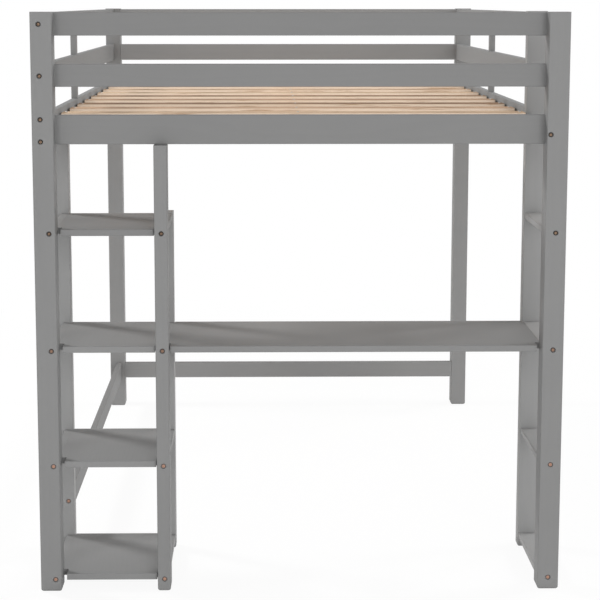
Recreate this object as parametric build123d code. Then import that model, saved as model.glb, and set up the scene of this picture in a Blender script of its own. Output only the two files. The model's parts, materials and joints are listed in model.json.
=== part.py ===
import os
from build123d import *

# Loft bed with a desk and a shelf tower under one end, a knock-down frame of posts and flat boards.
# X runs across the bed towards the ladder, Y from the desk end to the head end, Z up from the floor.
# The origin is on the floor, under the middle of the bed.

# Overall size
bed_width = 1448.0
bed_length = 2020.0
bed_height = 1610.0

# Posts, with eased edges and rounded feet
post_size = 58.0
rear_post_depth = 36.0        # shallower posts behind the shelves and the ladder
post_edge_round = 3.0
foot_round = 8.0
post_overrun = 2.0            # post above the upper guards

# Flat boards of the frame
rail_thickness = 20.0
rail_height = 80.0
guard_height = 62.0
guard_gap = 76.0              # clear height between rail and guard, and between the guards
board_edge_round = 2.5
left_rail_setback = 25.0      # post's inner face to the inner face of the left side boards
stretcher_height = 62.0
stretcher_bottom = 117.0
ladder_rail_height = 62.0
ladder_rail_drop = 12.0       # middle of the ladder's short rail below the middle of the side rail

# Shelf tower and ladder, which share their levels
tower_width = 362.0           # outer face of the corner post to the desk side of the shelf posts
tower_bay = 277.0             # clear depth between front and rear posts
shelf_post_width = 36.0
rear_shelf_post_inset = 4.0   # desk side of the rear shelf posts, back from that of the front posts
shelf_post_overrun = 14.0     # rear right shelf post above the middle of its top bar
level_count = 4
first_level = 35.0            # middle of the lowest bar above the floor
tower_headroom = 231.5        # top bar to the underside of the bed rails
shelf_bar_width = 22.0
shelf_bar_inset = 6.0         # desk side of a shelf bar, back from that of the front post
shelf_bar_edge_round = 0.5
rung_width = 52.0
bar_thickness = 18.0          # bars, rungs and the boards between them

# Shelf and desk boards, flush with their bars and notched round the posts
shelf_edge_round = 2.0
shelf_front_setback = 20.0
shelf_back_setback = 25.0
corner_notch_room = 12.0      # board to the side of a front corner post
notch_room = 3.0              # board to the side of any other post
notch_depth_clearance = 0.3

# Mattress deck
slat_count = 10
slat_width = 70.0
slat_thickness = 15.0
slat_edge_round = 2.0
slat_end_gap = 7.0            # slat end to side rail
slat_margin = 53.0            # first and last slat to the end rails
slat_drop = 14.0              # top of the slats below the top of the rails
cleat_width = 20.0
cleat_height = 30.0
beam_width = 20.0
beam_height = 50.0
tenon_length = 10.0
tenon_width = 12.0
tenon_height = 34.0
mortise_clearance = 0.3

# Guard balusters, square sticks between the side boards
baluster_width = 20.0
left_baluster_place = 760.0   # from the desk end
right_baluster_place = 1085.0

# Connector bolts with cross nuts
bolt_diameter = 6.0
bolt_reach = 45.0             # shank beyond the post
bolt_clearance = 0.5
bolt_end_room = 5.0
head_diameter = 12.0
head_thickness = 2.5
head_clearance = 1.5
head_recess = 1.5             # head face below the post's face
nut_diameter = 10.0
nut_setback = 32.0            # nut's middle from the board's end
nut_clearance = 0.3
nut_skin = 4.0                # wood left in front of the nut
nut_recess = 1.0
side_bolt_spread = 30.0       # pair of bolts of a side rail, above and below its middle
bolt_crossing = 12.0          # height between bolts that cross inside a post

# Dowels
dowel_diameter = 8.0
dowel_depth = 12.0            # in each of the two pieces
dowel_clearance = 0.2
shelf_dowel_spread = 70.0     # pair of dowels of a shelf, either side of its bar's middle
desk_dowel_spread = 40.0      # those of the desk, clear of the shelf's in the bar they share
ladder_dowel_spread = 9.0     # pair of dowels of the ladder's short rail, either side of the rail's middle

# Heights of the bed frame, down from the tops of the posts
upper_guard_top = bed_height - post_overrun
upper_guard_bottom = upper_guard_top - guard_height
lower_guard_top = upper_guard_bottom - guard_gap
lower_guard_bottom = lower_guard_top - guard_height
rail_top = lower_guard_bottom - guard_gap
rail_bottom = rail_top - rail_height
rail_middle = (rail_bottom + rail_top) / 2
ladder_rail_middle = rail_middle - ladder_rail_drop
end_bolt_z = rail_middle + side_bolt_spread - bolt_crossing
end_dowel_z = (end_bolt_z + ladder_rail_middle) / 2
slat_top = rail_top - slat_drop
slat_bottom = slat_top - slat_thickness

# Heights of the bars, evenly spaced up to the headroom under the bed; the desk is at the third
top_level = rail_bottom - tower_headroom - bar_thickness / 2
level_pitch = (top_level - first_level) / (level_count - 1)
levels = [first_level + level_pitch * index for index in range(level_count)]
desk_index = level_count // 2

# Faces of the frame across the bed
left_outer = -bed_width / 2
left_inner = left_outer + post_size
right_outer = bed_width / 2
right_inner = right_outer - post_size
left_rail_x = (left_inner - left_rail_setback - rail_thickness, left_inner - left_rail_setback)
right_rail_x = (right_inner, right_inner + rail_thickness)
tower_side = left_outer + tower_width

# Faces of the frame along the bed
front_outer = -bed_length / 2
front_inner = front_outer + post_size
rear_post_front = front_inner + tower_bay
rear_post_back = rear_post_front + rear_post_depth
back_outer = bed_length / 2
back_inner = back_outer - post_size
front_rail_y = (front_inner - rail_thickness, front_inner)
back_rail_y = (back_inner, back_inner + rail_thickness)

# Middles of the bars that carry the shelves, and of the ladder's rungs
left_bar_x = left_inner - shelf_bar_inset - shelf_bar_width / 2
right_bar_x = tower_side - shelf_bar_inset - shelf_bar_width / 2
rung_x = right_outer - post_size / 2

pieces = {}
cuts = {}
bolts = []
nuts = []
dowels = []


def middle(span):
    return (span[0] + span[1]) / 2


def about(centre, width):
    return (centre - width / 2, centre + width / 2)


def widened(span, room):
    return (span[0] - room, span[1] + room)


def block(x_span, y_span, z_span):
    spans = (x_span, y_span, z_span)
    size = [span[1] - span[0] for span in spans]
    return Pos(*[middle(span) for span in spans]) * Box(*size)


def rod(start, direction, diameter, length):
    seat = Plane(origin=start, z_dir=direction)
    return seat * Cylinder(diameter / 2, length, align=(Align.CENTER, Align.CENTER, Align.MIN))


def along(point, direction, distance):
    return tuple(Vector(point) + Vector(direction) * distance)


def add(name, solid):
    pieces[name] = solid
    cuts[name] = []


def add_board(name, x_span, y_span, z_span, grain, edge_round=board_edge_round):
    solid = block(x_span, y_span, z_span)
    add(name, fillet(solid.edges().filter_by(grain), edge_round))


def add_post(name, x_span, y_span, top):
    solid = block(x_span, y_span, (0, top))
    solid = fillet(solid.edges().filter_by(Axis.Z), post_edge_round)
    foot = solid.faces().sort_by(Axis.Z)[0]
    add(name, fillet(foot.edges(), foot_round))


# A bolt goes in at the post's outer face and draws the board's end to the post with a cross nut.
# nut_side points from the board's face where the nut goes in to its whole face.
def bolt_joint(post, board, head_point, direction, nut_side, board_depth, post_depth=post_size):
    seat_depth = head_recess + head_thickness
    shank_end = post_depth + bolt_reach
    head_hole = rod(head_point, direction, head_diameter + 2 * head_clearance, seat_depth)
    shank_hole = rod(head_point, direction, bolt_diameter + 2 * bolt_clearance, shank_end + bolt_end_room)
    cuts[post] += [head_hole, shank_hole]

    nut_middle = along(head_point, direction, post_depth + nut_setback)
    nut_mouth = along(nut_middle, nut_side, -board_depth / 2)
    bore_depth = board_depth - nut_skin
    nut_hole = rod(nut_mouth, nut_side, nut_diameter + 2 * nut_clearance, bore_depth)
    cuts[board] += [shank_hole, nut_hole]

    head = rod(along(head_point, direction, head_recess), direction, head_diameter, head_thickness)
    shank = rod(along(head_point, direction, seat_depth), direction, bolt_diameter, shank_end - seat_depth)
    bolts.append(head + shank)
    nut_start = along(nut_mouth, nut_side, nut_recess)
    nuts.append(rod(nut_start, nut_side, nut_diameter, bore_depth - nut_recess) - shank_hole)


def dowel_joint(first, second, point, direction):
    hole_start = along(point, direction, -dowel_depth)
    hole = rod(hole_start, direction, dowel_diameter + 2 * dowel_clearance, 2 * dowel_depth)
    cuts[first].append(hole)
    cuts[second].append(hole)
    dowels.append(rod(hole_start, direction, dowel_diameter, 2 * dowel_depth))


# Posts
left_post_x = (left_outer, left_inner)
right_post_x = (right_inner, right_outer)
shelf_post_x = (tower_side - shelf_post_width, tower_side)
rear_left_x = about(left_inner - rear_shelf_post_inset - shelf_post_width / 2, shelf_post_width)
rear_right_x = about(tower_side - rear_shelf_post_inset - shelf_post_width / 2, shelf_post_width)
front_post_y = (front_outer, front_inner)
rear_post_y = (rear_post_front, rear_post_back)
back_post_y = (back_inner, back_outer)
add_post("front_left_post", left_post_x, front_post_y, bed_height)
add_post("ladder_front_post", right_post_x, front_post_y, bed_height)
add_post("ladder_rear_post", right_post_x, rear_post_y, bed_height)
add_post("back_left_post", left_post_x, back_post_y, bed_height)
add_post("back_right_post", right_post_x, back_post_y, bed_height)
add_post("shelf_front_right_post", shelf_post_x, front_post_y, rail_bottom)
add_post("shelf_back_left_post", rear_left_x, rear_post_y, rail_bottom)
rear_shelf_post_top = levels[-1] + shelf_post_overrun
add_post("shelf_back_right_post", rear_right_x, rear_post_y, rear_shelf_post_top)

# Rails and guards round the bed, bolted to the posts
frame_heights = {
    "rail": (rail_bottom, rail_top),
    "lower_guard": (lower_guard_bottom, lower_guard_top),
    "upper_guard": (upper_guard_bottom, upper_guard_top),
}


def end_boards(end, y_span, right_post):
    for kind, z_span in frame_heights.items():
        name = f"{end}_end_rail" if kind == "rail" else f"{end}_{kind}"
        add_board(name, (left_inner, right_inner), y_span, z_span, Axis.X)
        bolt_z = end_bolt_z if kind == "rail" else middle(z_span) - bolt_crossing
        left_head = (left_outer, middle(y_span), bolt_z)
        right_head = (right_outer, middle(y_span), bolt_z)
        bolt_joint(f"{end}_left_post", name, left_head, (1, 0, 0), (0, -1, 0), rail_thickness)
        bolt_joint(right_post, name, right_head, (-1, 0, 0), (0, -1, 0), rail_thickness)
    rail = f"{end}_end_rail"
    dowel_joint(f"{end}_left_post", rail, (left_inner, middle(y_span), end_dowel_z), (1, 0, 0))
    dowel_joint(right_post, rail, (right_inner, middle(y_span), end_dowel_z), (1, 0, 0))


end_boards("front", front_rail_y, "ladder_front_post")
end_boards("back", back_rail_y, "back_right_post")


# Side boards from a near post to the corner post at the head end. Over the ladder, the rail's upper
# bolt would show between the guards, so that end has a dowel there.
def side_boards(side, x_span, near_post, near_post_y, nut_side, baluster_place):
    near_depth = near_post_y[1] - near_post_y[0]
    for kind, z_span in frame_heights.items():
        name = f"{side}_side_rail" if kind == "rail" else f"{side}_{kind}"
        add_board(name, x_span, (near_post_y[1], back_inner), z_span, Axis.Y)
        offsets = (-side_bolt_spread, side_bolt_spread) if kind == "rail" else (0,)
        for offset in offsets:
            bolt_z = middle(z_span) + offset
            near_head = (middle(x_span), near_post_y[0], bolt_z)
            far_head = (middle(x_span), back_outer, bolt_z)
            if near_post == "ladder_rear_post" and offset > 0:
                dowel_joint(near_post, name, (middle(x_span), near_post_y[1], bolt_z), (0, 1, 0))
            else:
                bolt_joint(near_post, name, near_head, (0, 1, 0), nut_side, rail_thickness, near_depth)
            bolt_joint(f"back_{side}_post", name, far_head, (0, -1, 0), nut_side, rail_thickness)

    stick_x = about(middle(x_span), baluster_width)
    stick_y = about(front_outer + baluster_place, baluster_width)
    rail = f"{side}_side_rail"
    lower = f"{side}_lower_guard"
    upper = f"{side}_upper_guard"
    for name, z_span, below, above in (
        (f"{side}_lower_baluster", (rail_top, lower_guard_bottom), rail, lower),
        (f"{side}_upper_baluster", (lower_guard_top, upper_guard_bottom), lower, upper),
    ):
        add_board(name, stick_x, stick_y, z_span, Axis.Z)
        dowel_joint(below, name, (middle(stick_x), middle(stick_y), z_span[0]), (0, 0, 1))
        dowel_joint(name, above, (middle(stick_x), middle(stick_y), z_span[1]), (0, 0, 1))


side_boards("left", left_rail_x, "front_left_post", front_post_y, (1, 0, 0), left_baluster_place)
side_boards("right", right_rail_x, "ladder_rear_post", rear_post_y, (-1, 0, 0), right_baluster_place)

# Short rail over the ladder, bolted to the front post and dowelled to the rear one
ladder_rail_z = about(ladder_rail_middle, ladder_rail_height)
ladder_rail_x = middle(right_rail_x)
add_board("ladder_side_rail", right_rail_x, (front_inner, rear_post_front), ladder_rail_z, Axis.Y)
ladder_head = (ladder_rail_x, front_outer, ladder_rail_middle)
bolt_joint("ladder_front_post", "ladder_side_rail", ladder_head, (0, 1, 0), (-1, 0, 0), rail_thickness)
for offset in (-ladder_dowel_spread, ladder_dowel_spread):
    dowel_point = (ladder_rail_x, rear_post_front, rail_middle + offset)
    dowel_joint("ladder_side_rail", "ladder_rear_post", dowel_point, (0, 1, 0))

# Stretchers near the floor, behind the shelf tower and across the head end
stretcher_z = (stretcher_bottom, stretcher_bottom + stretcher_height)
stretcher_middle = middle(stretcher_z)
left_stretcher_x = about(middle(rear_left_x), rail_thickness)
add_board("left_stretcher", left_stretcher_x, (rear_post_back, back_inner), stretcher_z, Axis.Y)
near_head = (middle(left_stretcher_x), rear_post_front, stretcher_middle)
far_head = (middle(left_stretcher_x), back_outer, stretcher_middle)
shelf_post = "shelf_back_left_post"
bolt_joint(shelf_post, "left_stretcher", near_head, (0, 1, 0), (1, 0, 0), rail_thickness, rear_post_depth)
bolt_joint("back_left_post", "left_stretcher", far_head, (0, -1, 0), (1, 0, 0), rail_thickness)

add_board("back_stretcher", (left_inner, right_inner), back_rail_y, stretcher_z, Axis.X)
stretcher_bolt_z = stretcher_middle - bolt_crossing
left_head = (left_outer, middle(back_rail_y), stretcher_bolt_z)
right_head = (right_outer, middle(back_rail_y), stretcher_bolt_z)
bolt_joint("back_left_post", "back_stretcher", left_head, (1, 0, 0), (0, -1, 0), rail_thickness)
bolt_joint("back_right_post", "back_stretcher", right_head, (-1, 0, 0), (0, -1, 0), rail_thickness)

# Shelf posts' tops, pegged under the bed rails
peg_x = middle((max(rear_left_x[0], left_rail_x[0]), min(rear_left_x[1], left_rail_x[1])))
dowel_joint("shelf_back_left_post", "left_side_rail", (peg_x, middle(rear_post_y), rail_bottom), (0, 0, 1))
front_peg = (middle(shelf_post_x), middle(front_rail_y), rail_bottom)
dowel_joint("shelf_front_right_post", "front_end_rail", front_peg, (0, 0, 1))


# Flat bars between a front and a rear post, bolted from both ends
def add_bar(name, x_span, level, front_post, rear_post, edge_round=shelf_bar_edge_round):
    bay_y = (front_inner, rear_post_front)
    add_board(name, x_span, bay_y, about(level, bar_thickness), Axis.Y, edge_round)
    front_head = (middle(x_span), front_outer, level)
    rear_head = (middle(x_span), rear_post_back, level)
    bolt_joint(front_post, name, front_head, (0, 1, 0), (0, 0, 1), bar_thickness)
    bolt_joint(rear_post, name, rear_head, (0, -1, 0), (0, 0, 1), bar_thickness, rear_post_depth)


# A board between two bars, notched round the posts at its ends and held by a pair of dowels at each end
def add_shelf(name, x_span, level, bars, front_notches, rear_notches, dowel_spread):
    z_span = about(level, bar_thickness)
    y_span = (front_outer + shelf_front_setback, rear_post_back - shelf_back_setback)
    add_board(name, x_span, y_span, z_span, Axis.X, shelf_edge_round)
    front_notch_y = (front_outer, front_inner + notch_depth_clearance)
    rear_notch_y = (rear_post_front - notch_depth_clearance, rear_post_back)
    cuts[name] += [block(notch_x, front_notch_y, z_span) for notch_x in front_notches]
    cuts[name] += [block(notch_x, rear_notch_y, z_span) for notch_x in rear_notches]
    bay_middle = middle((front_inner, rear_post_front))
    for offset in (-dowel_spread, dowel_spread):
        dowel_joint(bars[0], name, (x_span[0], bay_middle + offset, level), (1, 0, 0))
        dowel_joint(name, bars[1], (x_span[1], bay_middle + offset, level), (1, 0, 0))


left_bar_span = about(left_bar_x, shelf_bar_width)
right_bar_span = about(right_bar_x, shelf_bar_width)
rung_span = about(rung_x, rung_width)
left_corner_notch = widened(left_post_x, corner_notch_room)
right_corner_notch = widened(right_post_x, corner_notch_room)
tower_notch = widened(shelf_post_x, notch_room)
rear_left_notch = widened(rear_left_x, notch_room)
rear_right_notch = widened(rear_right_x, notch_room)
ladder_notch = widened(right_post_x, notch_room)

shelf_x = (left_bar_span[1], right_bar_span[0])
shelf_notches = ((left_corner_notch, tower_notch), (rear_left_notch, rear_right_notch))
for index, level in enumerate(levels):
    left_bar = f"shelf_bar_left_{index + 1}"
    right_bar = f"shelf_bar_right_{index + 1}"
    rung = f"ladder_rung_{index + 1}"
    shelf = f"shelf_{index + 1}"
    bars = (left_bar, right_bar)
    add_bar(left_bar, left_bar_span, level, "front_left_post", "shelf_back_left_post")
    add_bar(right_bar, right_bar_span, level, "shelf_front_right_post", "shelf_back_right_post")
    add_bar(rung, rung_span, level, "ladder_front_post", "ladder_rear_post", board_edge_round)
    add_shelf(shelf, shelf_x, level, bars, *shelf_notches, shelf_dowel_spread)

# Desk, from the shelf tower to the ladder's rung
desk_x = (right_bar_span[1], rung_span[0])
desk_bars = (f"shelf_bar_right_{desk_index + 1}", f"ladder_rung_{desk_index + 1}")
desk_notches = ((tower_notch, right_corner_notch), (rear_right_notch, ladder_notch))
add_shelf("desk_top", desk_x, levels[desk_index], desk_bars, *desk_notches, desk_dowel_spread)

# Mattress deck: cleats along the side rails, a middle beam tenoned into the end rails, and the slats
deck_y = (front_inner, back_inner)
cleat_z = (slat_bottom - cleat_height, slat_bottom)
add_board("left_slat_cleat", (left_rail_x[1], left_rail_x[1] + cleat_width), deck_y, cleat_z, Axis.Y)
add_board("right_slat_cleat", (right_rail_x[0] - cleat_width, right_rail_x[0]), deck_y, cleat_z, Axis.Y)

beam_z = (slat_bottom - beam_height, slat_bottom)
add_board("centre_beam", about(0, beam_width), deck_y, beam_z, Axis.Y)
tenon_y = (front_inner - tenon_length, back_inner + tenon_length)
tenon = block(about(0, tenon_width), tenon_y, about(middle(beam_z), tenon_height))
pieces["centre_beam"] += tenon
mortise_width = tenon_width + 2 * mortise_clearance
mortise_height = tenon_height + 2 * mortise_clearance
mortise = block(about(0, mortise_width), tenon_y, about(middle(beam_z), mortise_height))
cuts["front_end_rail"].append(mortise)
cuts["back_end_rail"].append(mortise)

slat_x = (left_rail_x[1] + slat_end_gap, right_rail_x[0] - slat_end_gap)
first_slat = deck_y[0] + slat_margin + slat_width / 2
last_slat = deck_y[1] - slat_margin - slat_width / 2
slat_pitch = (last_slat - first_slat) / (slat_count - 1)
for index in range(slat_count):
    slat_y = about(first_slat + index * slat_pitch, slat_width)
    add_board(f"slat_{index + 1:02d}", slat_x, slat_y, (slat_bottom, slat_top), Axis.X, slat_edge_round)

add("frame_bolts", Compound(children=bolts))
add("barrel_nuts", Compound(children=nuts))
add("dowels", Compound(children=dowels))

os.makedirs("parts", exist_ok=True)
for name, solid in pieces.items():
    if cuts[name]:
        solid = solid - cuts[name]
    export_step(solid, f"parts/{name}.step")
print(f"{len(pieces)} pieces, {len(bolts)} bolts, {len(dowels)} dowels, {bed_height:.1f} mm high")
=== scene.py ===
import json
import math
import bpy
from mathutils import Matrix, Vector


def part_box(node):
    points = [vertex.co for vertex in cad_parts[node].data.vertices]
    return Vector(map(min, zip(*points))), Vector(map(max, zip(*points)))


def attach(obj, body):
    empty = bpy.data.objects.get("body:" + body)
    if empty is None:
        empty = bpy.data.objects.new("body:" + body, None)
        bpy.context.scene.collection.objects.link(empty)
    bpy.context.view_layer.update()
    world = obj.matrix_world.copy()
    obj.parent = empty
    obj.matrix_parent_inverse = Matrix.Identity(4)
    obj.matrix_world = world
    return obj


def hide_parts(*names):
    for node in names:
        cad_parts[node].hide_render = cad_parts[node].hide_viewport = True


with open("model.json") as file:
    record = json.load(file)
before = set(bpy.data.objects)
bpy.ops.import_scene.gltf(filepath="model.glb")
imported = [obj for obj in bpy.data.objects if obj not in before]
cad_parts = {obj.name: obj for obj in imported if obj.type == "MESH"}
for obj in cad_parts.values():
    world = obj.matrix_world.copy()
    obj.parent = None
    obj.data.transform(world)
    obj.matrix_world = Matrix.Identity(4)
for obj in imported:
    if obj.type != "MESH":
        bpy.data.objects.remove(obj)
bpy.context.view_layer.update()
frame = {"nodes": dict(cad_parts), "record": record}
cadNodes = frame["nodes"]
print("frame loaded:", len(cadNodes), "nodes")


# Node helpers: a socket given as an input is linked, anything else is set as its value

def fill(tree, node, inputs):
    for key, value in inputs.items():
        if isinstance(value, bpy.types.NodeSocket):
            tree.links.new(value, node.inputs[key])
        else:
            node.inputs[key].default_value = value


def put(tree, kind, inputs=None, **settings):
    node = tree.nodes.new(kind)
    for name, value in settings.items():
        setattr(node, name, value)
    fill(tree, node, inputs or {})
    return node


def math2(tree, operation, first, second, clamp=False):
    node = put(tree, "ShaderNodeMath", {0: first, 1: second}, operation=operation, use_clamp=clamp)
    return node.outputs[0]


def ramp(tree, value, low, high, outLow=0.0, outHigh=1.0):
    node = put(tree, "ShaderNodeMapRange", {
        "Value": value, "From Min": low, "From Max": high, "To Min": outLow, "To Max": outHigh,
    }, interpolation_type="SMOOTHSTEP")
    return node.outputs["Result"]


def tint(tree, factor, first, second, blend="MIX"):
    node = put(tree, "ShaderNodeMix", {0: factor, 6: first, 7: second},      # 6 and 7 are the colours
               data_type="RGBA", blend_type=blend)
    return node.outputs[2]


def noise(tree, vector, scale, detail, roughness=0.5):
    node = put(tree, "ShaderNodeTexNoise", {
        "Vector": vector, "Scale": scale, "Detail": detail, "Roughness": roughness,
    })
    return node.outputs["Fac"]


def bump(tree, height, depth, inputs=None):
    node = put(tree, "ShaderNodeBump", {"Strength": 1.0, "Distance": depth, "Height": height})
    fill(tree, node, inputs or {})
    return node.outputs[0]


def stretched(tree, vector, scale):
    node = put(tree, "ShaderNodeVectorMath", {0: vector, 1: scale}, operation="MULTIPLY")
    return node.outputs[0]


def lengthOf(tree, vector):
    return put(tree, "ShaderNodeVectorMath", {0: vector}, operation="LENGTH").outputs["Value"]


def splitUp(tree, vector):
    return put(tree, "ShaderNodeSeparateXYZ", {0: vector}).outputs


def vectorOf(tree, x, y, z):
    return put(tree, "ShaderNodeCombineXYZ", {"X": x, "Y": y, "Z": z}).outputs[0]


def newGroup(name, sizes, masks):
    group = bpy.data.node_groups.new(name, "ShaderNodeTree")
    group.interface.new_socket("Vector", in_out="INPUT", socket_type="NodeSocketVector")
    for label in sizes:
        group.interface.new_socket(label, in_out="INPUT", socket_type="NodeSocketFloat")
    for label in masks:
        group.interface.new_socket(label, in_out="OUTPUT", socket_type="NodeSocketFloat")
    given = group.nodes.new("NodeGroupInput").outputs
    return group, given, group.nodes.new("NodeGroupOutput")


def useGroup(tree, group, inputs):
    return put(tree, "ShaderNodeGroup", inputs, node_tree=group).outputs


def newMaterial(name):
    material = bpy.data.materials.new(name)
    material.use_nodes = True
    tree = material.node_tree
    return material, tree, tree.nodes["Principled BSDF"]


def sRgb(red, green, blue):
    def linear(value):
        return value / 12.92 if value <= 0.04045 else ((value + 0.055) / 1.055) ** 2.4
    return (linear(red), linear(green), linear(blue), 1.0)


# Wood grain with X along the fibres, in metres

grainLook = {
    "fibreStretch": (0.03, 1.0, 1.0), "fibreDetail": (4.0, 0.6),
    "knotStretch": (0.8, 2.6, 2.6), "knotFade": (0.6, 1.3),
    "swayStretch": (0.5, 3.0, 3.0), "swayScale": 3.0, "swayDetail": 2.0, "swayDepth": 0.09,
    "bulgeReach": 4.0, "bulgeDepth": 0.035,      # rings part round a knot
    "ringLean": 0.62, "ringRise": (0.15, 0.9), "ringFall": (0.92, 1.0),
}


def makeWoodGrain():
    group, given, out = newGroup("woodGrain", ["Fibre Width", "Ring Width", "Knot Spacing", "Knot Size"],
                                 ["Fibre", "Rings", "Knots"])
    vector = given["Vector"]
    fibreScale = math2(group, "DIVIDE", 1.0, given["Fibre Width"])
    fibreVector = stretched(group, vector, grainLook["fibreStretch"])
    fibre = noise(group, fibreVector, fibreScale, *grainLook["fibreDetail"])

    knotCells = put(group, "ShaderNodeTexVoronoi", {
        "Vector": stretched(group, vector, grainLook["knotStretch"]),
        "Scale": math2(group, "DIVIDE", 1.0, given["Knot Spacing"]), "Randomness": 1.0,
    })
    knotNear = math2(group, "DIVIDE", knotCells.outputs["Distance"], given["Knot Size"])
    knots = ramp(group, knotNear, *grainLook["knotFade"], 1.0, 0.0)

    sway = noise(group, stretched(group, vector, grainLook["swayStretch"]),
                 grainLook["swayScale"], grainLook["swayDetail"])
    bulge = ramp(group, knotNear, 0.0, grainLook["bulgeReach"], grainLook["bulgeDepth"], 0.0)
    spread = splitUp(group, vector)
    lean = math2(group, "MULTIPLY", spread["Z"], grainLook["ringLean"])
    depth = math2(group, "ADD", spread["Y"], lean)
    swayed = math2(group, "ADD", depth, math2(group, "MULTIPLY", sway, grainLook["swayDepth"]))
    ringScale = math2(group, "DIVIDE", 1.0, given["Ring Width"])
    phase = math2(group, "MULTIPLY", math2(group, "ADD", swayed, bulge), ringScale)
    saw = math2(group, "FRACT", phase, 0.0)
    rise = ramp(group, saw, *grainLook["ringRise"])
    fall = ramp(group, saw, *grainLook["ringFall"], 1.0, 0.0)
    fill(group, out, {"Fibre": fibre, "Rings": math2(group, "MULTIPLY", rise, fall), "Knots": knots})
    return group


# Patches of slightly different tone, the fine pebble that a roller leaves, and scuffs

filmLook = {
    "patchDetail": 3.0, "pebbleDetail": 2.0,
    "scuffStretch": (1.0, 1.6, 0.7), "scuffScale": 38.0, "scuffDetail": (5.0, 0.7),
    "scuffRange": (0.62, 0.74),
}


def makePaintFilm():
    group, given, out = newGroup("paintFilm", ["Patch Size", "Pebble Size"],
                                 ["Patch", "Pebble", "Scuffs"])
    vector = given["Vector"]
    patchScale = math2(group, "DIVIDE", 1.0, given["Patch Size"])
    pebbleScale = math2(group, "DIVIDE", 1.0, given["Pebble Size"])
    marks = noise(group, stretched(group, vector, filmLook["scuffStretch"]),
                  filmLook["scuffScale"], *filmLook["scuffDetail"])
    fill(group, out, {
        "Patch": noise(group, vector, patchScale, filmLook["patchDetail"]),
        "Pebble": noise(group, vector, pebbleScale, filmLook["pebbleDetail"]),
        "Scuffs": ramp(group, marks, *filmLook["scuffRange"]),
    })
    return group


woodGrain = makeWoodGrain()
paintFilm = makePaintFilm()

grainTurns = {
    "X": (0.0, 0.0, 0.0),
    "Y": (0.0, 0.0, math.radians(-90)),
    "Z": (0.0, math.radians(90), 0.0),
}


def grainVector(tree, grain):
    coords = put(tree, "ShaderNodeTexCoord").outputs["Object"]
    turned = put(tree, "ShaderNodeMapping", {"Vector": coords, "Rotation": grainTurns[grain]})
    return coords, turned.outputs[0]


def useGrain(tree, vector, look):
    return useGroup(tree, woodGrain, {
        "Vector": vector, "Fibre Width": look["fibreWidth"], "Ring Width": look["ringWidth"],
        "Knot Spacing": look["knotSpacing"], "Knot Size": look["knotSize"],
    })


# Satin grey paint over planed pine

greyPaint = {
    "colour": sRgb(0.538, 0.538, 0.537),
    "fibreWidth": 0.0032, "ringWidth": 0.016, "knotSpacing": 0.55, "knotSize": 0.035,
    "patchSize": 0.45, "patchRange": (0.3, 0.7), "patchTones": (0.975, 1.02),
    "grainShade": 0.012, "scuffShade": 0.012,
    "roughRange": (0.25, 0.75), "rough": (0.54, 0.64), "scuffRough": 0.08,
    "fibreRelief": 0.6, "ringRelief": 0.7, "grainDepth": 0.00006,
    "pebbleSize": 0.0016, "pebbleDepth": 0.00004,
    "specular": 0.18,
    # each piece's tone is painted light and shade that evens out the lamps: lighter on the rear posts,
    # rungs and far guards that stand in shade, darker on near, upper and left pieces; the first start that
    # fits a node's name counts
    "tonesAndShade": [
        ("front_left_post", 0.93), ("front_upper_guard", 0.84), ("front_", 0.87),
        ("ladder_front", 0.94), ("ladder_rear", 1.24), ("ladder_rung", 1.33),
        ("shelf_front", 0.94), ("shelf_back", 1.24), ("shelf_4", 0.86), ("desk_top", 0.94),
        ("left_side_rail", 0.9), ("left_lower_baluster", 1.05), ("left_upper_baluster", 1.05),
        ("left_", 0.8),
        ("back_lower_guard", 1.22), ("back_upper_guard", 1.22), ("back_", 1.06),
        ("", 1.0),
    ],
}


def makeGreyPaint(grain, toneAndShade):
    material, tree, shader = newMaterial("greyPaint%s%03d" % (grain, round(100 * toneAndShade)))
    coords, vector = grainVector(tree, grain)
    wood = useGrain(tree, vector, greyPaint)
    film = useGroup(tree, paintFilm, {
        "Vector": coords, "Patch Size": greyPaint["patchSize"], "Pebble Size": greyPaint["pebbleSize"],
    })
    patch = ramp(tree, film["Patch"], *greyPaint["patchRange"], *greyPaint["patchTones"])
    grown = math2(tree, "ADD", wood["Rings"], wood["Fibre"])
    lines = math2(tree, "MULTIPLY", grown, greyPaint["grainShade"])
    marks = math2(tree, "MULTIPLY", film["Scuffs"], greyPaint["scuffShade"])
    level = math2(tree, "SUBTRACT", math2(tree, "ADD", patch, marks), lines)
    # the piece's tone brightens or darkens the paint as painted light and shade
    level = math2(tree, "MULTIPLY", level, toneAndShade)
    shade = put(tree, "ShaderNodeCombineColor", {"Red": level, "Green": level, "Blue": level})

    rough = ramp(tree, film["Patch"], *greyPaint["roughRange"], *greyPaint["rough"])
    scuffed = math2(tree, "MULTIPLY", film["Scuffs"], greyPaint["scuffRough"])
    fibres = math2(tree, "MULTIPLY", wood["Fibre"], greyPaint["fibreRelief"])
    rings = math2(tree, "MULTIPLY", wood["Rings"], greyPaint["ringRelief"])
    relief = math2(tree, "ADD", fibres, math2(tree, "SUBTRACT", wood["Knots"], rings))
    under = bump(tree, relief, greyPaint["grainDepth"])
    fill(tree, shader, {
        "Base Color": tint(tree, 1.0, greyPaint["colour"], shade.outputs[0], "MULTIPLY"),
        "Roughness": math2(tree, "ADD", rough, scuffed),
        "Normal": bump(tree, film["Pebble"], greyPaint["pebbleDepth"], {"Normal": under}),
        "Specular IOR Level": greyPaint["specular"],
    })
    return material


# Bare planed pine: every slat's top has a tone of its own, partly the board's colour and partly painted
# shade, and the upright sawn faces are painted paler as painted light from the front

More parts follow.
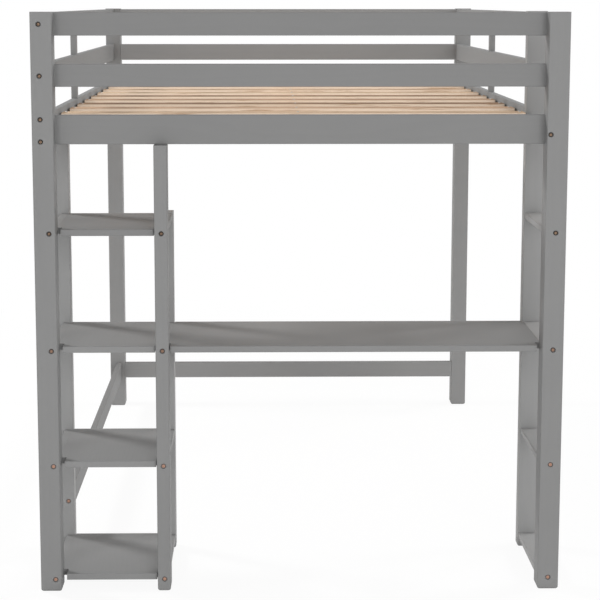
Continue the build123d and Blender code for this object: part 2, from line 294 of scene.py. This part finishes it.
barePine = {
    "early": sRgb(0.88, 0.77, 0.65), "late": sRgb(0.68, 0.52, 0.38),
    "rosy": sRgb(0.84, 0.70, 0.59), "knot": sRgb(0.40, 0.25, 0.15),
    "sawnLitPale": sRgb(0.99, 0.90, 0.81), "sawnLitDeep": sRgb(0.76, 0.61, 0.48),
    "tonesAndShade": [0.92, 1.0, 0.88, 0.44, 0.74, 0.50, 1.0, 0.95, 0.9, 0.88],      # front slat first
    "warming": (1.0, 1.18, 1.4),      # darker boards are browner
    "rosyShares": [0.3, 0.1, 0.8, 0.5, 0.9, 0.4, 0.0, 0.7, 0.2, 0.6], "rosyLeast": 0.6,
    "boardShift": (1.37, 0.71, 0.93), "beamBoard": 1, "dowelBoard": 20,
    "fibreWidth": 0.0022, "ringWidth": 0.012, "knotSpacing": 0.30, "knotSize": 0.045,
    "patchScale": 2.5, "patchDetail": 2.0, "patchRange": (0.35, 0.65),
    "fibreRange": (0.2, 0.8), "streaks": (0.35, 0.9),
    "runStretch": (4.5, 90.0, 90.0), "runDetail": (4.0, 0.6), "runRange": (0.54, 0.74),
    "litSidesRange": (0.35, 0.75),
    "rough": (0.54, 0.72), "ringRelief": 0.5, "grainDepth": 0.00025,
    "specular": 0.12,
}


def makeBarePine(grain, board):
    material, tree, shader = newMaterial("barePine%s%02d" % (grain, board))
    vector = grainVector(tree, grain)[1]
    place = [step * board for step in barePine["boardShift"]]
    shifted = put(tree, "ShaderNodeVectorMath", {0: vector, 1: place}, operation="ADD").outputs[0]
    wood = useGrain(tree, shifted, barePine)
    # each slat's top tone is partly the board's own colour and partly painted shade between the slats
    row = board % len(barePine["tonesAndShade"])
    toneAndShade = [barePine["tonesAndShade"][row] ** power for power in barePine["warming"]]
    share = barePine["rosyShares"][row]

    patch = noise(tree, shifted, barePine["patchScale"], barePine["patchDetail"])
    blush = ramp(tree, patch, *barePine["patchRange"], share * barePine["rosyLeast"], share)
    body = tint(tree, blush, barePine["early"], barePine["rosy"])
    fibres = ramp(tree, wood["Fibre"], *barePine["fibreRange"], *barePine["streaks"])
    streaked = tint(tree, math2(tree, "MULTIPLY", wood["Rings"], fibres), body, barePine["late"])
    planed = tint(tree, 1.0, streaked, (*toneAndShade, 1.0), "MULTIPLY")

    runVector = stretched(tree, shifted, barePine["runStretch"])
    runs = noise(tree, runVector, 1.0, *barePine["runDetail"])
    sawnLitSides = tint(tree, ramp(tree, runs, *barePine["runRange"]),
                barePine["sawnLitPale"], barePine["sawnLitDeep"])
    # upright faces take the paler sawn colour: painted light from the front lamps over the real sawn
    # streaks
    facing = splitUp(tree, put(tree, "ShaderNodeNewGeometry").outputs["Normal"])["Z"]
    upright = math2(tree, "ABSOLUTE", facing, 0.0)
    grown = tint(tree, ramp(tree, upright, *barePine["litSidesRange"], 1.0, 0.0), planed, sawnLitSides)

    rings = math2(tree, "MULTIPLY", wood["Rings"], barePine["ringRelief"])
    relief = math2(tree, "SUBTRACT", wood["Fibre"], rings)
    fill(tree, shader, {
        "Base Color": tint(tree, wood["Knots"], grown, barePine["knot"]),
        "Roughness": ramp(tree, wood["Fibre"], *barePine["fibreRange"], *barePine["rough"]),
        "Normal": bump(tree, relief, barePine["grainDepth"]),
        "Specular IOR Level": barePine["specular"],
    })
    return material


# Metal of the fasteners

steelSkin = {
    "stainScale": 260.0, "stainDetail": (4.0, 0.65), "stainRange": (0.3, 0.7),
    "fineScale": 1400.0, "fineDetail": 2.0, "fineDepth": 0.00004,
}
bronzedSteel = {
    "colour": sRgb(0.52, 0.43, 0.35), "stain": sRgb(0.38, 0.30, 0.24),
    # the rim colours are painted shade: a dark ring where each head sits in its recess
    "rim": sRgb(0.13, 0.11, 0.10), "rimShadeRange": (0.5, 0.8),
    "lowColour": sRgb(0.68, 0.53, 0.45), "lowRimShade": sRgb(0.50, 0.42, 0.39), "lowRange": (0.35, 0.9),
    "metallic": 0.6, "rough": (0.34, 0.5),
}
zincedSteel = {
    "colour": sRgb(0.78, 0.78, 0.77), "stain": sRgb(0.62, 0.62, 0.62),
    "metallic": 1.0, "rough": (0.28, 0.45),
}


def makeMetal(name, look):
    material, tree, shader = newMaterial(name)
    coords = put(tree, "ShaderNodeTexCoord").outputs["Object"]
    spots = noise(tree, coords, steelSkin["stainScale"], *steelSkin["stainDetail"])
    stain = ramp(tree, spots, *steelSkin["stainRange"])
    shade = tint(tree, stain, look["colour"], look["stain"])
    if "rim" in look:      # the head is darkest round its edge as painted shade of the recess it sits in, and paler on the lower bolts
        fromAxis = put(tree, "ShaderNodeAttribute", attribute_name="fromAxis").outputs["Fac"]
        rimShadeMask = ramp(tree, fromAxis, *look["rimShadeRange"])
        upper = tint(tree, rimShadeMask, shade, look["rim"])
        lower = tint(tree, rimShadeMask, look["lowColour"], look["lowRimShade"])
        height = splitUp(tree, coords)["Z"]
        shade = tint(tree, ramp(tree, height, *look["lowRange"], 1.0, 0.0), upper, lower)
    fine = noise(tree, coords, steelSkin["fineScale"], steelSkin["fineDetail"])
    fill(tree, shader, {
        "Base Color": shade,
        "Roughness": ramp(tree, stain, 0.0, 1.0, *look["rough"]),
        "Normal": bump(tree, fine, steelSkin["fineDepth"]),
        "Metallic": look["metallic"],
    })
    return material


bronzed = makeMetal("bronzedSteel", bronzedSteel)
zinced = makeMetal("zincedSteel", zincedSteel)

# Each CAD node takes the finish of its kind, with the grain along its length, and grey pieces take lit and
# shaded copies of the paint

slots = {row["node"]: row["material_slot"] for row in frame["record"]["subparts"]}
paints = {}


def longAxis(name):
    low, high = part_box(name)
    size = high - low
    return "XYZ"[max(range(3), key=lambda axis: size[axis])]


def paintedLightOf(name):
    return next(toneAndShade for start, toneAndShade in greyPaint["tonesAndShade"] if name.startswith(start))


def finishOf(name):
    slot = slots[name]
    if slot == "grey_paint":
        kind = (longAxis(name), paintedLightOf(name))
        if kind not in paints:
            paints[kind] = makeGreyPaint(*kind)
        return paints[kind]
    if slot == "bare_pine":
        board = int(name[-2:]) - 1 if name.startswith("slat_") else barePine["beamBoard"]
        return makeBarePine(longAxis(name), board)
    if slot == "beech":
        return makeBarePine("X", barePine["dowelBoard"])
    return bronzed if slot == "bronzed_steel" else zinced


for name, piece in cadNodes.items():
    finish = finishOf(name)
    piece.data.materials.clear()
    piece.data.materials.append(finish)
print("finishes set on", len(cadNodes), "nodes")


# Geometry Nodes helpers: a tree's sizes come from the piece's dictionary

def newTree(name, sizes, look):
    tree = bpy.data.node_groups.new(name, "GeometryNodeTree")
    addSocket = tree.interface.new_socket
    addSocket("Geometry", in_out="INPUT", socket_type="NodeSocketGeometry")
    for label in sizes:
        socket = addSocket(label, in_out="INPUT", socket_type="NodeSocketFloat")
        socket.default_value = look[label[0].lower() + label[1:].replace(" ", "")]
    addSocket("Seed", in_out="INPUT", socket_type="NodeSocketInt").default_value = look["seed"]
    addSocket("Material", in_out="INPUT", socket_type="NodeSocketMaterial")
    addSocket("Geometry", in_out="OUTPUT", socket_type="NodeSocketGeometry")
    given = tree.nodes.new("NodeGroupInput").outputs
    return tree, given, tree.nodes.new("NodeGroupOutput")


def drum(tree, sides, radius, depth, start):
    mesh = put(tree, "GeometryNodeMeshCylinder", {"Vertices": sides, "Radius": radius, "Depth": depth})
    middle = math2(tree, "ADD", start, math2(tree, "MULTIPLY", depth, 0.5))
    return moved(tree, mesh.outputs["Mesh"], vectorOf(tree, 0.0, 0.0, middle))


def moved(tree, mesh, place):
    node = put(tree, "GeometryNodeTransform", {"Geometry": mesh, "Translation": place})
    return node.outputs[0]


def carve(tree, operation, *meshes):
    node = put(tree, "GeometryNodeMeshBoolean", operation=operation, solver="EXACT")
    target = "Mesh 1" if operation == "DIFFERENCE" else "Mesh 2"
    tree.links.new(meshes[0], node.inputs[target])
    for mesh in meshes[1:]:
        tree.links.new(mesh, node.inputs["Mesh 2"])
    return node.outputs["Mesh"]


def randomTurn(tree, seed, most):
    spin = put(tree, "FunctionNodeRandomValue", {"Seed": seed, 3: most}, data_type="FLOAT")      # 3 is Max
    return vectorOf(tree, 0.0, 0.0, spin.outputs[1])


def fact(tree, name, kind):
    node = put(tree, "GeometryNodeInputNamedAttribute", {"Name": name}, data_type=kind)
    return node.outputs[0]


def scatter(tree, points, shape, rotation, scale=(1.0, 1.0, 1.0)):
    node = put(tree, "GeometryNodeInstanceOnPoints", {
        "Points": points, "Instance": shape, "Rotation": rotation, "Scale": scale,
    })
    return node.outputs[0]


def settle(tree, instances, material, out):
    real = put(tree, "GeometryNodeRealizeInstances", {"Geometry": instances}).outputs[0]
    flat = put(tree, "GeometryNodeSetShadeSmooth", {"Geometry": real, "Shade Smooth": False}).outputs[0]
    painted = put(tree, "GeometryNodeSetMaterial", {"Geometry": flat, "Material": material}).outputs[0]
    fill(tree, out, {"Geometry": painted})


def placesMesh(name, points, facts):
    mesh = bpy.data.meshes.new(name)
    mesh.from_pydata(points, [], [])
    for label, kind, field, values in facts:
        layer = mesh.attributes.new(label, kind, "POINT")
        for item, value in zip(layer.data, values):
            setattr(item, field, value)
    piece = bpy.data.objects.new(name, mesh)
    bpy.context.scene.collection.objects.link(piece)
    return piece


def grow(piece, tree, values):
    modifier = piece.modifiers.new(tree.name, "NODES")
    modifier.node_group = tree
    for item in tree.interface.items_tree:
        if item.in_out == "INPUT" and item.name in values:
            modifier[item.identifier] = values[item.name]
    ready = piece.evaluated_get(bpy.context.evaluated_depsgraph_get())
    made = bpy.data.meshes.new_from_object(ready)
    piece.modifiers.clear()
    piece.data = made
    return piece


# Connector bolts: a flat chamfered head with a hex socket, on a shank as long as the solid's

boltLook = {
    "headWidth": 0.012, "headHeight": 0.0025, "chamfer": 0.0006, "headSides": 40,
    "socketFlats": 0.004, "socketDepth": 0.0016, "cutterRise": 0.001,
    "shankWidth": 0.006, "shankSides": 20,
    "turn": math.pi / 3, "seed": 7,
    "sameDigits": 6, "endReach": 0.0005,      # for reading the bolts' places from the solids
}


def boltOf(spots):
    low = [min(spot[axis] for spot in spots) for axis in range(3)]
    high = [max(spot[axis] for spot in spots) for axis in range(3)]
    run = max(range(3), key=lambda axis: high[axis] - low[axis])
    across = (run + 1) % 3
    centre = [(low[axis] + high[axis]) / 2 for axis in range(3)]

    def girth(end):
        return max(abs(spot[across] - centre[across]) for spot in spots
                   if abs(spot[run] - end) < boltLook["endReach"])

    headFirst = girth(low[run]) > girth(high[run])
    head, direction = list(centre), [0.0, 0.0, 0.0]
    head[run] = low[run] if headFirst else high[run]
    direction[run] = 1.0 if headFirst else -1.0
    return head, direction, high[run] - low[run]


def readBolts(node):
    source = node.data
    owner = list(range(len(source.vertices)))

    def root(index):
        while owner[index] != index:
            owner[index] = owner[owner[index]]
            index = owner[index]
        return index

    sameSpot = {}
    for vertex in source.vertices:
        spot = tuple(round(value, boltLook["sameDigits"]) for value in vertex.co)
        owner[vertex.index] = sameSpot.setdefault(spot, vertex.index)
    for edge in source.edges:
        first, second = root(edge.vertices[0]), root(edge.vertices[1])
        owner[max(first, second)] = min(first, second)
    loose = {}
    for vertex in source.vertices:
        loose.setdefault(root(vertex.index), []).append(vertex.co)
    return [boltOf(spots) for spots in loose.values()]


def boltTree():
    tree, given, out = newTree("connectorBolts", [
        "Head Width", "Head Height", "Chamfer", "Socket Flats", "Socket Depth", "Shank Width",
    ], boltLook)
    points, headHeight, chamfer = given["Geometry"], given["Head Height"], given["Chamfer"]
    radius = math2(tree, "MULTIPLY", given["Head Width"], 0.5)
    rim = put(tree, "GeometryNodeMeshCone", {
        "Vertices": boltLook["headSides"], "Radius Bottom": math2(tree, "SUBTRACT", radius, chamfer),
        "Radius Top": radius, "Depth": chamfer,
    }).outputs["Mesh"]
    body = drum(tree, boltLook["headSides"], radius, math2(tree, "SUBTRACT", headHeight, chamfer), chamfer)
    socketRadius = math2(tree, "DIVIDE", given["Socket Flats"], 2 * math.cos(math.pi / 6))
    socketReach = math2(tree, "ADD", given["Socket Depth"], boltLook["cutterRise"])
    socket = drum(tree, 6, socketRadius, socketReach, -boltLook["cutterRise"])
    head = carve(tree, "DIFFERENCE", carve(tree, "UNION", rim, body), socket)
    spot = put(tree, "GeometryNodeInputPosition").outputs[0]
    fromAxis = math2(tree, "DIVIDE", lengthOf(tree, stretched(tree, spot, (1.0, 1.0, 0.0))), radius)
    head = put(tree, "GeometryNodeStoreNamedAttribute", {
        "Geometry": head, "Name": "fromAxis", "Value": fromAxis,
    }, data_type="FLOAT", domain="POINT").outputs[0]
    shankRadius = math2(tree, "MULTIPLY", given["Shank Width"], 0.5)
    shank = drum(tree, boltLook["shankSides"], shankRadius, 1.0, 0.0)

    axis = fact(tree, "axis", "FLOAT_VECTOR")
    turned = put(tree, "FunctionNodeAlignRotationToVector", {"Vector": axis}, axis="Z").outputs[0]
    heads = put(tree, "GeometryNodeRotateInstances", {
        "Instances": scatter(tree, points, head, turned),
        "Rotation": randomTurn(tree, given["Seed"], boltLook["turn"]),
    }).outputs[0]
    start = put(tree, "ShaderNodeVectorMath", {0: axis, "Scale": headHeight}, operation="SCALE").outputs[0]
    below = put(tree, "GeometryNodeSetPosition", {"Geometry": points, "Offset": start}).outputs[0]
    length = math2(tree, "SUBTRACT", fact(tree, "reach", "FLOAT"), headHeight)
    shanks = scatter(tree, below, shank, turned, vectorOf(tree, 1.0, 1.0, length))
    joined = put(tree, "GeometryNodeJoinGeometry")
    tree.links.new(heads, joined.inputs[0])
    tree.links.new(shanks, joined.inputs[0])
    settle(tree, joined.outputs[0], given["Material"], out)
    return tree


def addBolts():
    heads, axes, reaches = zip(*readBolts(cadNodes["frame_bolts"]))
    places = placesMesh("connectorBolts", heads, [("axis", "FLOAT_VECTOR", "vector", axes),
                                                  ("reach", "FLOAT", "value", reaches)])
    bolts = grow(places, boltTree(), {"Material": bronzed, "Seed": boltLook["seed"]})
    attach(bolts, "root")
    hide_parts("frame_bolts")
    print("connector bolts:", len(heads), "with", len(bolts.data.polygons), "faces")


addBolts()

# Slat screws: small domed heads with a cross recess, over the cleats and the middle beam

screwLook = {
    "headWidth": 0.0075, "headHeight": 0.0018, "segments": 20, "rings": 12,
    "crossLength": 0.0042, "crossWidth": 0.0010, "crossDepth": 0.0010,
    "turn": math.pi, "seed": 11,
    "over": ["left_slat_cleat", "centre_beam", "right_slat_cleat"],
    "endRoom": 0.011,      # least distance from a slat's end
}


def screwTree():
    tree, given, out = newTree("slatScrews", [
        "Head Width", "Head Height", "Cross Length", "Cross Width", "Cross Depth",
    ], screwLook)
    headHeight, crossLength, crossWidth = given["Head Height"], given["Cross Length"], given["Cross Width"]
    ball = put(tree, "GeometryNodeMeshUVSphere", {
        "Segments": screwLook["segments"], "Rings": screwLook["rings"], "Radius": 1.0,
    }).outputs["Mesh"]
    half = math2(tree, "MULTIPLY", given["Head Width"], 0.5)
    dome = put(tree, "GeometryNodeTransform", {
        "Geometry": ball, "Scale": vectorOf(tree, half, half, headHeight),
    }).outputs[0]
    top = vectorOf(tree, 0.0, 0.0, headHeight)
    tall = math2(tree, "MULTIPLY", given["Cross Depth"], 2.0)
    bars = []
    for x, y in ((crossLength, crossWidth), (crossWidth, crossLength)):
        bar = put(tree, "GeometryNodeMeshCube", {"Size": vectorOf(tree, x, y, tall)}).outputs["Mesh"]
        bars.append(moved(tree, bar, top))
    head = carve(tree, "DIFFERENCE", dome, carve(tree, "UNION", *bars))
    twist = randomTurn(tree, given["Seed"], screwLook["turn"])
    settle(tree, scatter(tree, given["Geometry"], head, twist), given["Material"], out)
    return tree


def addScrews():
    lines = [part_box(name) for name in screwLook["over"]]
    slats = [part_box(name) for name in sorted(cadNodes) if name.startswith("slat_")]
    points = []
    for slatLow, slatHigh in slats:
        for low, high in lines:
            across = max((low.x + high.x) / 2, slatLow.x + screwLook["endRoom"])
            across = min(across, slatHigh.x - screwLook["endRoom"])
            points.append((across, (slatLow.y + slatHigh.y) / 2, slatHigh.z))
    places = placesMesh("slatScrews", points, [])
    screws = grow(places, screwTree(), {"Material": zinced, "Seed": screwLook["seed"]})
    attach(screws, "root")
    print("slat screws:", len(points), "with", len(screws.data.polygons), "faces")


addScrews()

# Camera, fitted to the photograph

viewpoint = {
    "eye": (-0.102, -5.063, 1.636),
    "pitch": -7.247, "yaw": -0.747, "roll": 0.0,
    "sensor": 36.0, "focalPixels": 1508.7,
    "pictureWidth": 600.0, "middle": (282.6, 193.8),
    "clipEnd": 200.0,
}


def addCamera():
    data = bpy.data.cameras.new("photoCamera")
    data.sensor_width = viewpoint["sensor"]
    data.lens = viewpoint["sensor"] * viewpoint["focalPixels"] / viewpoint["pictureWidth"]
    half = viewpoint["pictureWidth"] / 2
    data.shift_x = (half - viewpoint["middle"][0]) / viewpoint["pictureWidth"]
    data.shift_y = (viewpoint["middle"][1] - half) / viewpoint["pictureWidth"]
    data.clip_end = viewpoint["clipEnd"]
    camera = bpy.data.objects.new("photoCamera", data)
    camera.location = viewpoint["eye"]
    camera.rotation_euler = (math.radians(90 + viewpoint["pitch"]), math.radians(viewpoint["roll"]),
                             math.radians(viewpoint["yaw"]))
    bpy.context.scene.collection.objects.link(camera)
    bpy.context.scene.camera = camera


# Soft studio light and a white floor that keeps the shadow

studio = {
    "white": (1.0, 1.0, 1.0, 1.0), "worldLevel": 0.4,
    "floorSize": 240.0, "floorColour": (0.94, 0.94, 0.94, 1.0),
    "floorRough": 0.9, "floorSpecular": 0.1,
    "floorShow": 0.92,      # share of plain white near the bed
    "shadowReach": (1.5, 3.2),      # where plain white takes over
    # name, place, aim, size and power; leftLamp draws the posts' shadows on the shelves
    "lamps": [
        ("frontLamp", (1.2, -10.19, 4.49), (0.0, -0.4, 0.9), 3.0, 118.0),
        ("frontLeftLamp", (-3.58, -9.83, 4.3), (0.0, -0.4, 0.9), 3.0, 114.0),
        ("frontRightLamp", (3.58, -9.83, 4.3), (0.0, -0.4, 0.9), 3.0, 84.0),
        ("lowLeftLamp", (-3.58, -10.23, 1.82), (0.0, -0.4, 0.9), 3.0, 72.0),
        ("lowRightLamp", (3.58, -10.23, 1.82), (0.0, -0.4, 0.9), 3.0, 139.0),
        ("leftLamp", (-3.62, 1.13, 3.35), (-0.5, -0.75, 0.7), 0.7, 117.0),
        ("rightLamp", (5.9, 0.7, 4.3), (0.5, -0.7, 0.8), 1.2, 138.0),
        ("backRightLamp", (7.0, 4.0, 3.5), (0.0, 0.0, 0.8), 2.0, 190.0),
    ],
}


def addLamps():
    for name, place, aim, size, power in studio["lamps"]:
        data = bpy.data.lights.new(name, "AREA")
        data.size = size
        data.energy = power
        lamp = bpy.data.objects.new(name, data)
        lamp.location = place
        lamp.rotation_euler = (Vector(aim) - Vector(place)).to_track_quat("-Z", "Y").to_euler()
        bpy.context.scene.collection.objects.link(lamp)


def seenDirectly(tree):
    rays = put(tree, "ShaderNodeLightPath").outputs
    direct = math2(tree, "ADD", rays["Is Camera Ray"], rays["Is Glossy Ray"])
    return math2(tree, "ADD", direct, rays["Is Transmission Ray"], True)


def addWorld():
    world = bpy.data.worlds.new("studioWorld")
    world.use_nodes = True
    tree = world.node_tree
    fill(tree, tree.nodes["Background"], {
        "Color": studio["white"],
        "Strength": ramp(tree, seenDirectly(tree), 0.0, 1.0, studio["worldLevel"], 1.0),
    })
    bpy.context.scene.world = world


def addFloor():
    half = studio["floorSize"] / 2
    corners = [(-half, -half, 0), (half, -half, 0), (half, half, 0), (-half, half, 0)]
    mesh = bpy.data.meshes.new("studioFloor")
    mesh.from_pydata(corners, [], [(0, 1, 2, 3)])
    floor = bpy.data.objects.new("studioFloor", mesh)
    bpy.context.scene.collection.objects.link(floor)
    material, tree, shader = newMaterial("studioFloor")
    fill(tree, shader, {
        "Base Color": studio["floorColour"], "Roughness": studio["floorRough"],
        "Specular IOR Level": studio["floorSpecular"],
    })
    glow = put(tree, "ShaderNodeEmission", {"Color": studio["white"], "Strength": 1.0})
    away = lengthOf(tree, put(tree, "ShaderNodeTexCoord").outputs["Object"])
    plain = ramp(tree, away, *studio["shadowReach"], studio["floorShow"], 1.0)
    share = math2(tree, "MULTIPLY", seenDirectly(tree), plain)
    mixed = put(tree, "ShaderNodeMixShader", {0: share, 1: shader.outputs[0], 2: glow.outputs[0]})
    fill(tree, tree.nodes["Material Output"], {"Surface": mixed.outputs[0]})
    mesh.materials.append(material)


addCamera()
addLamps()
addWorld()
addFloor()
bpy.context.scene.view_settings.view_transform = "Standard"
print("camera, light and floor set")
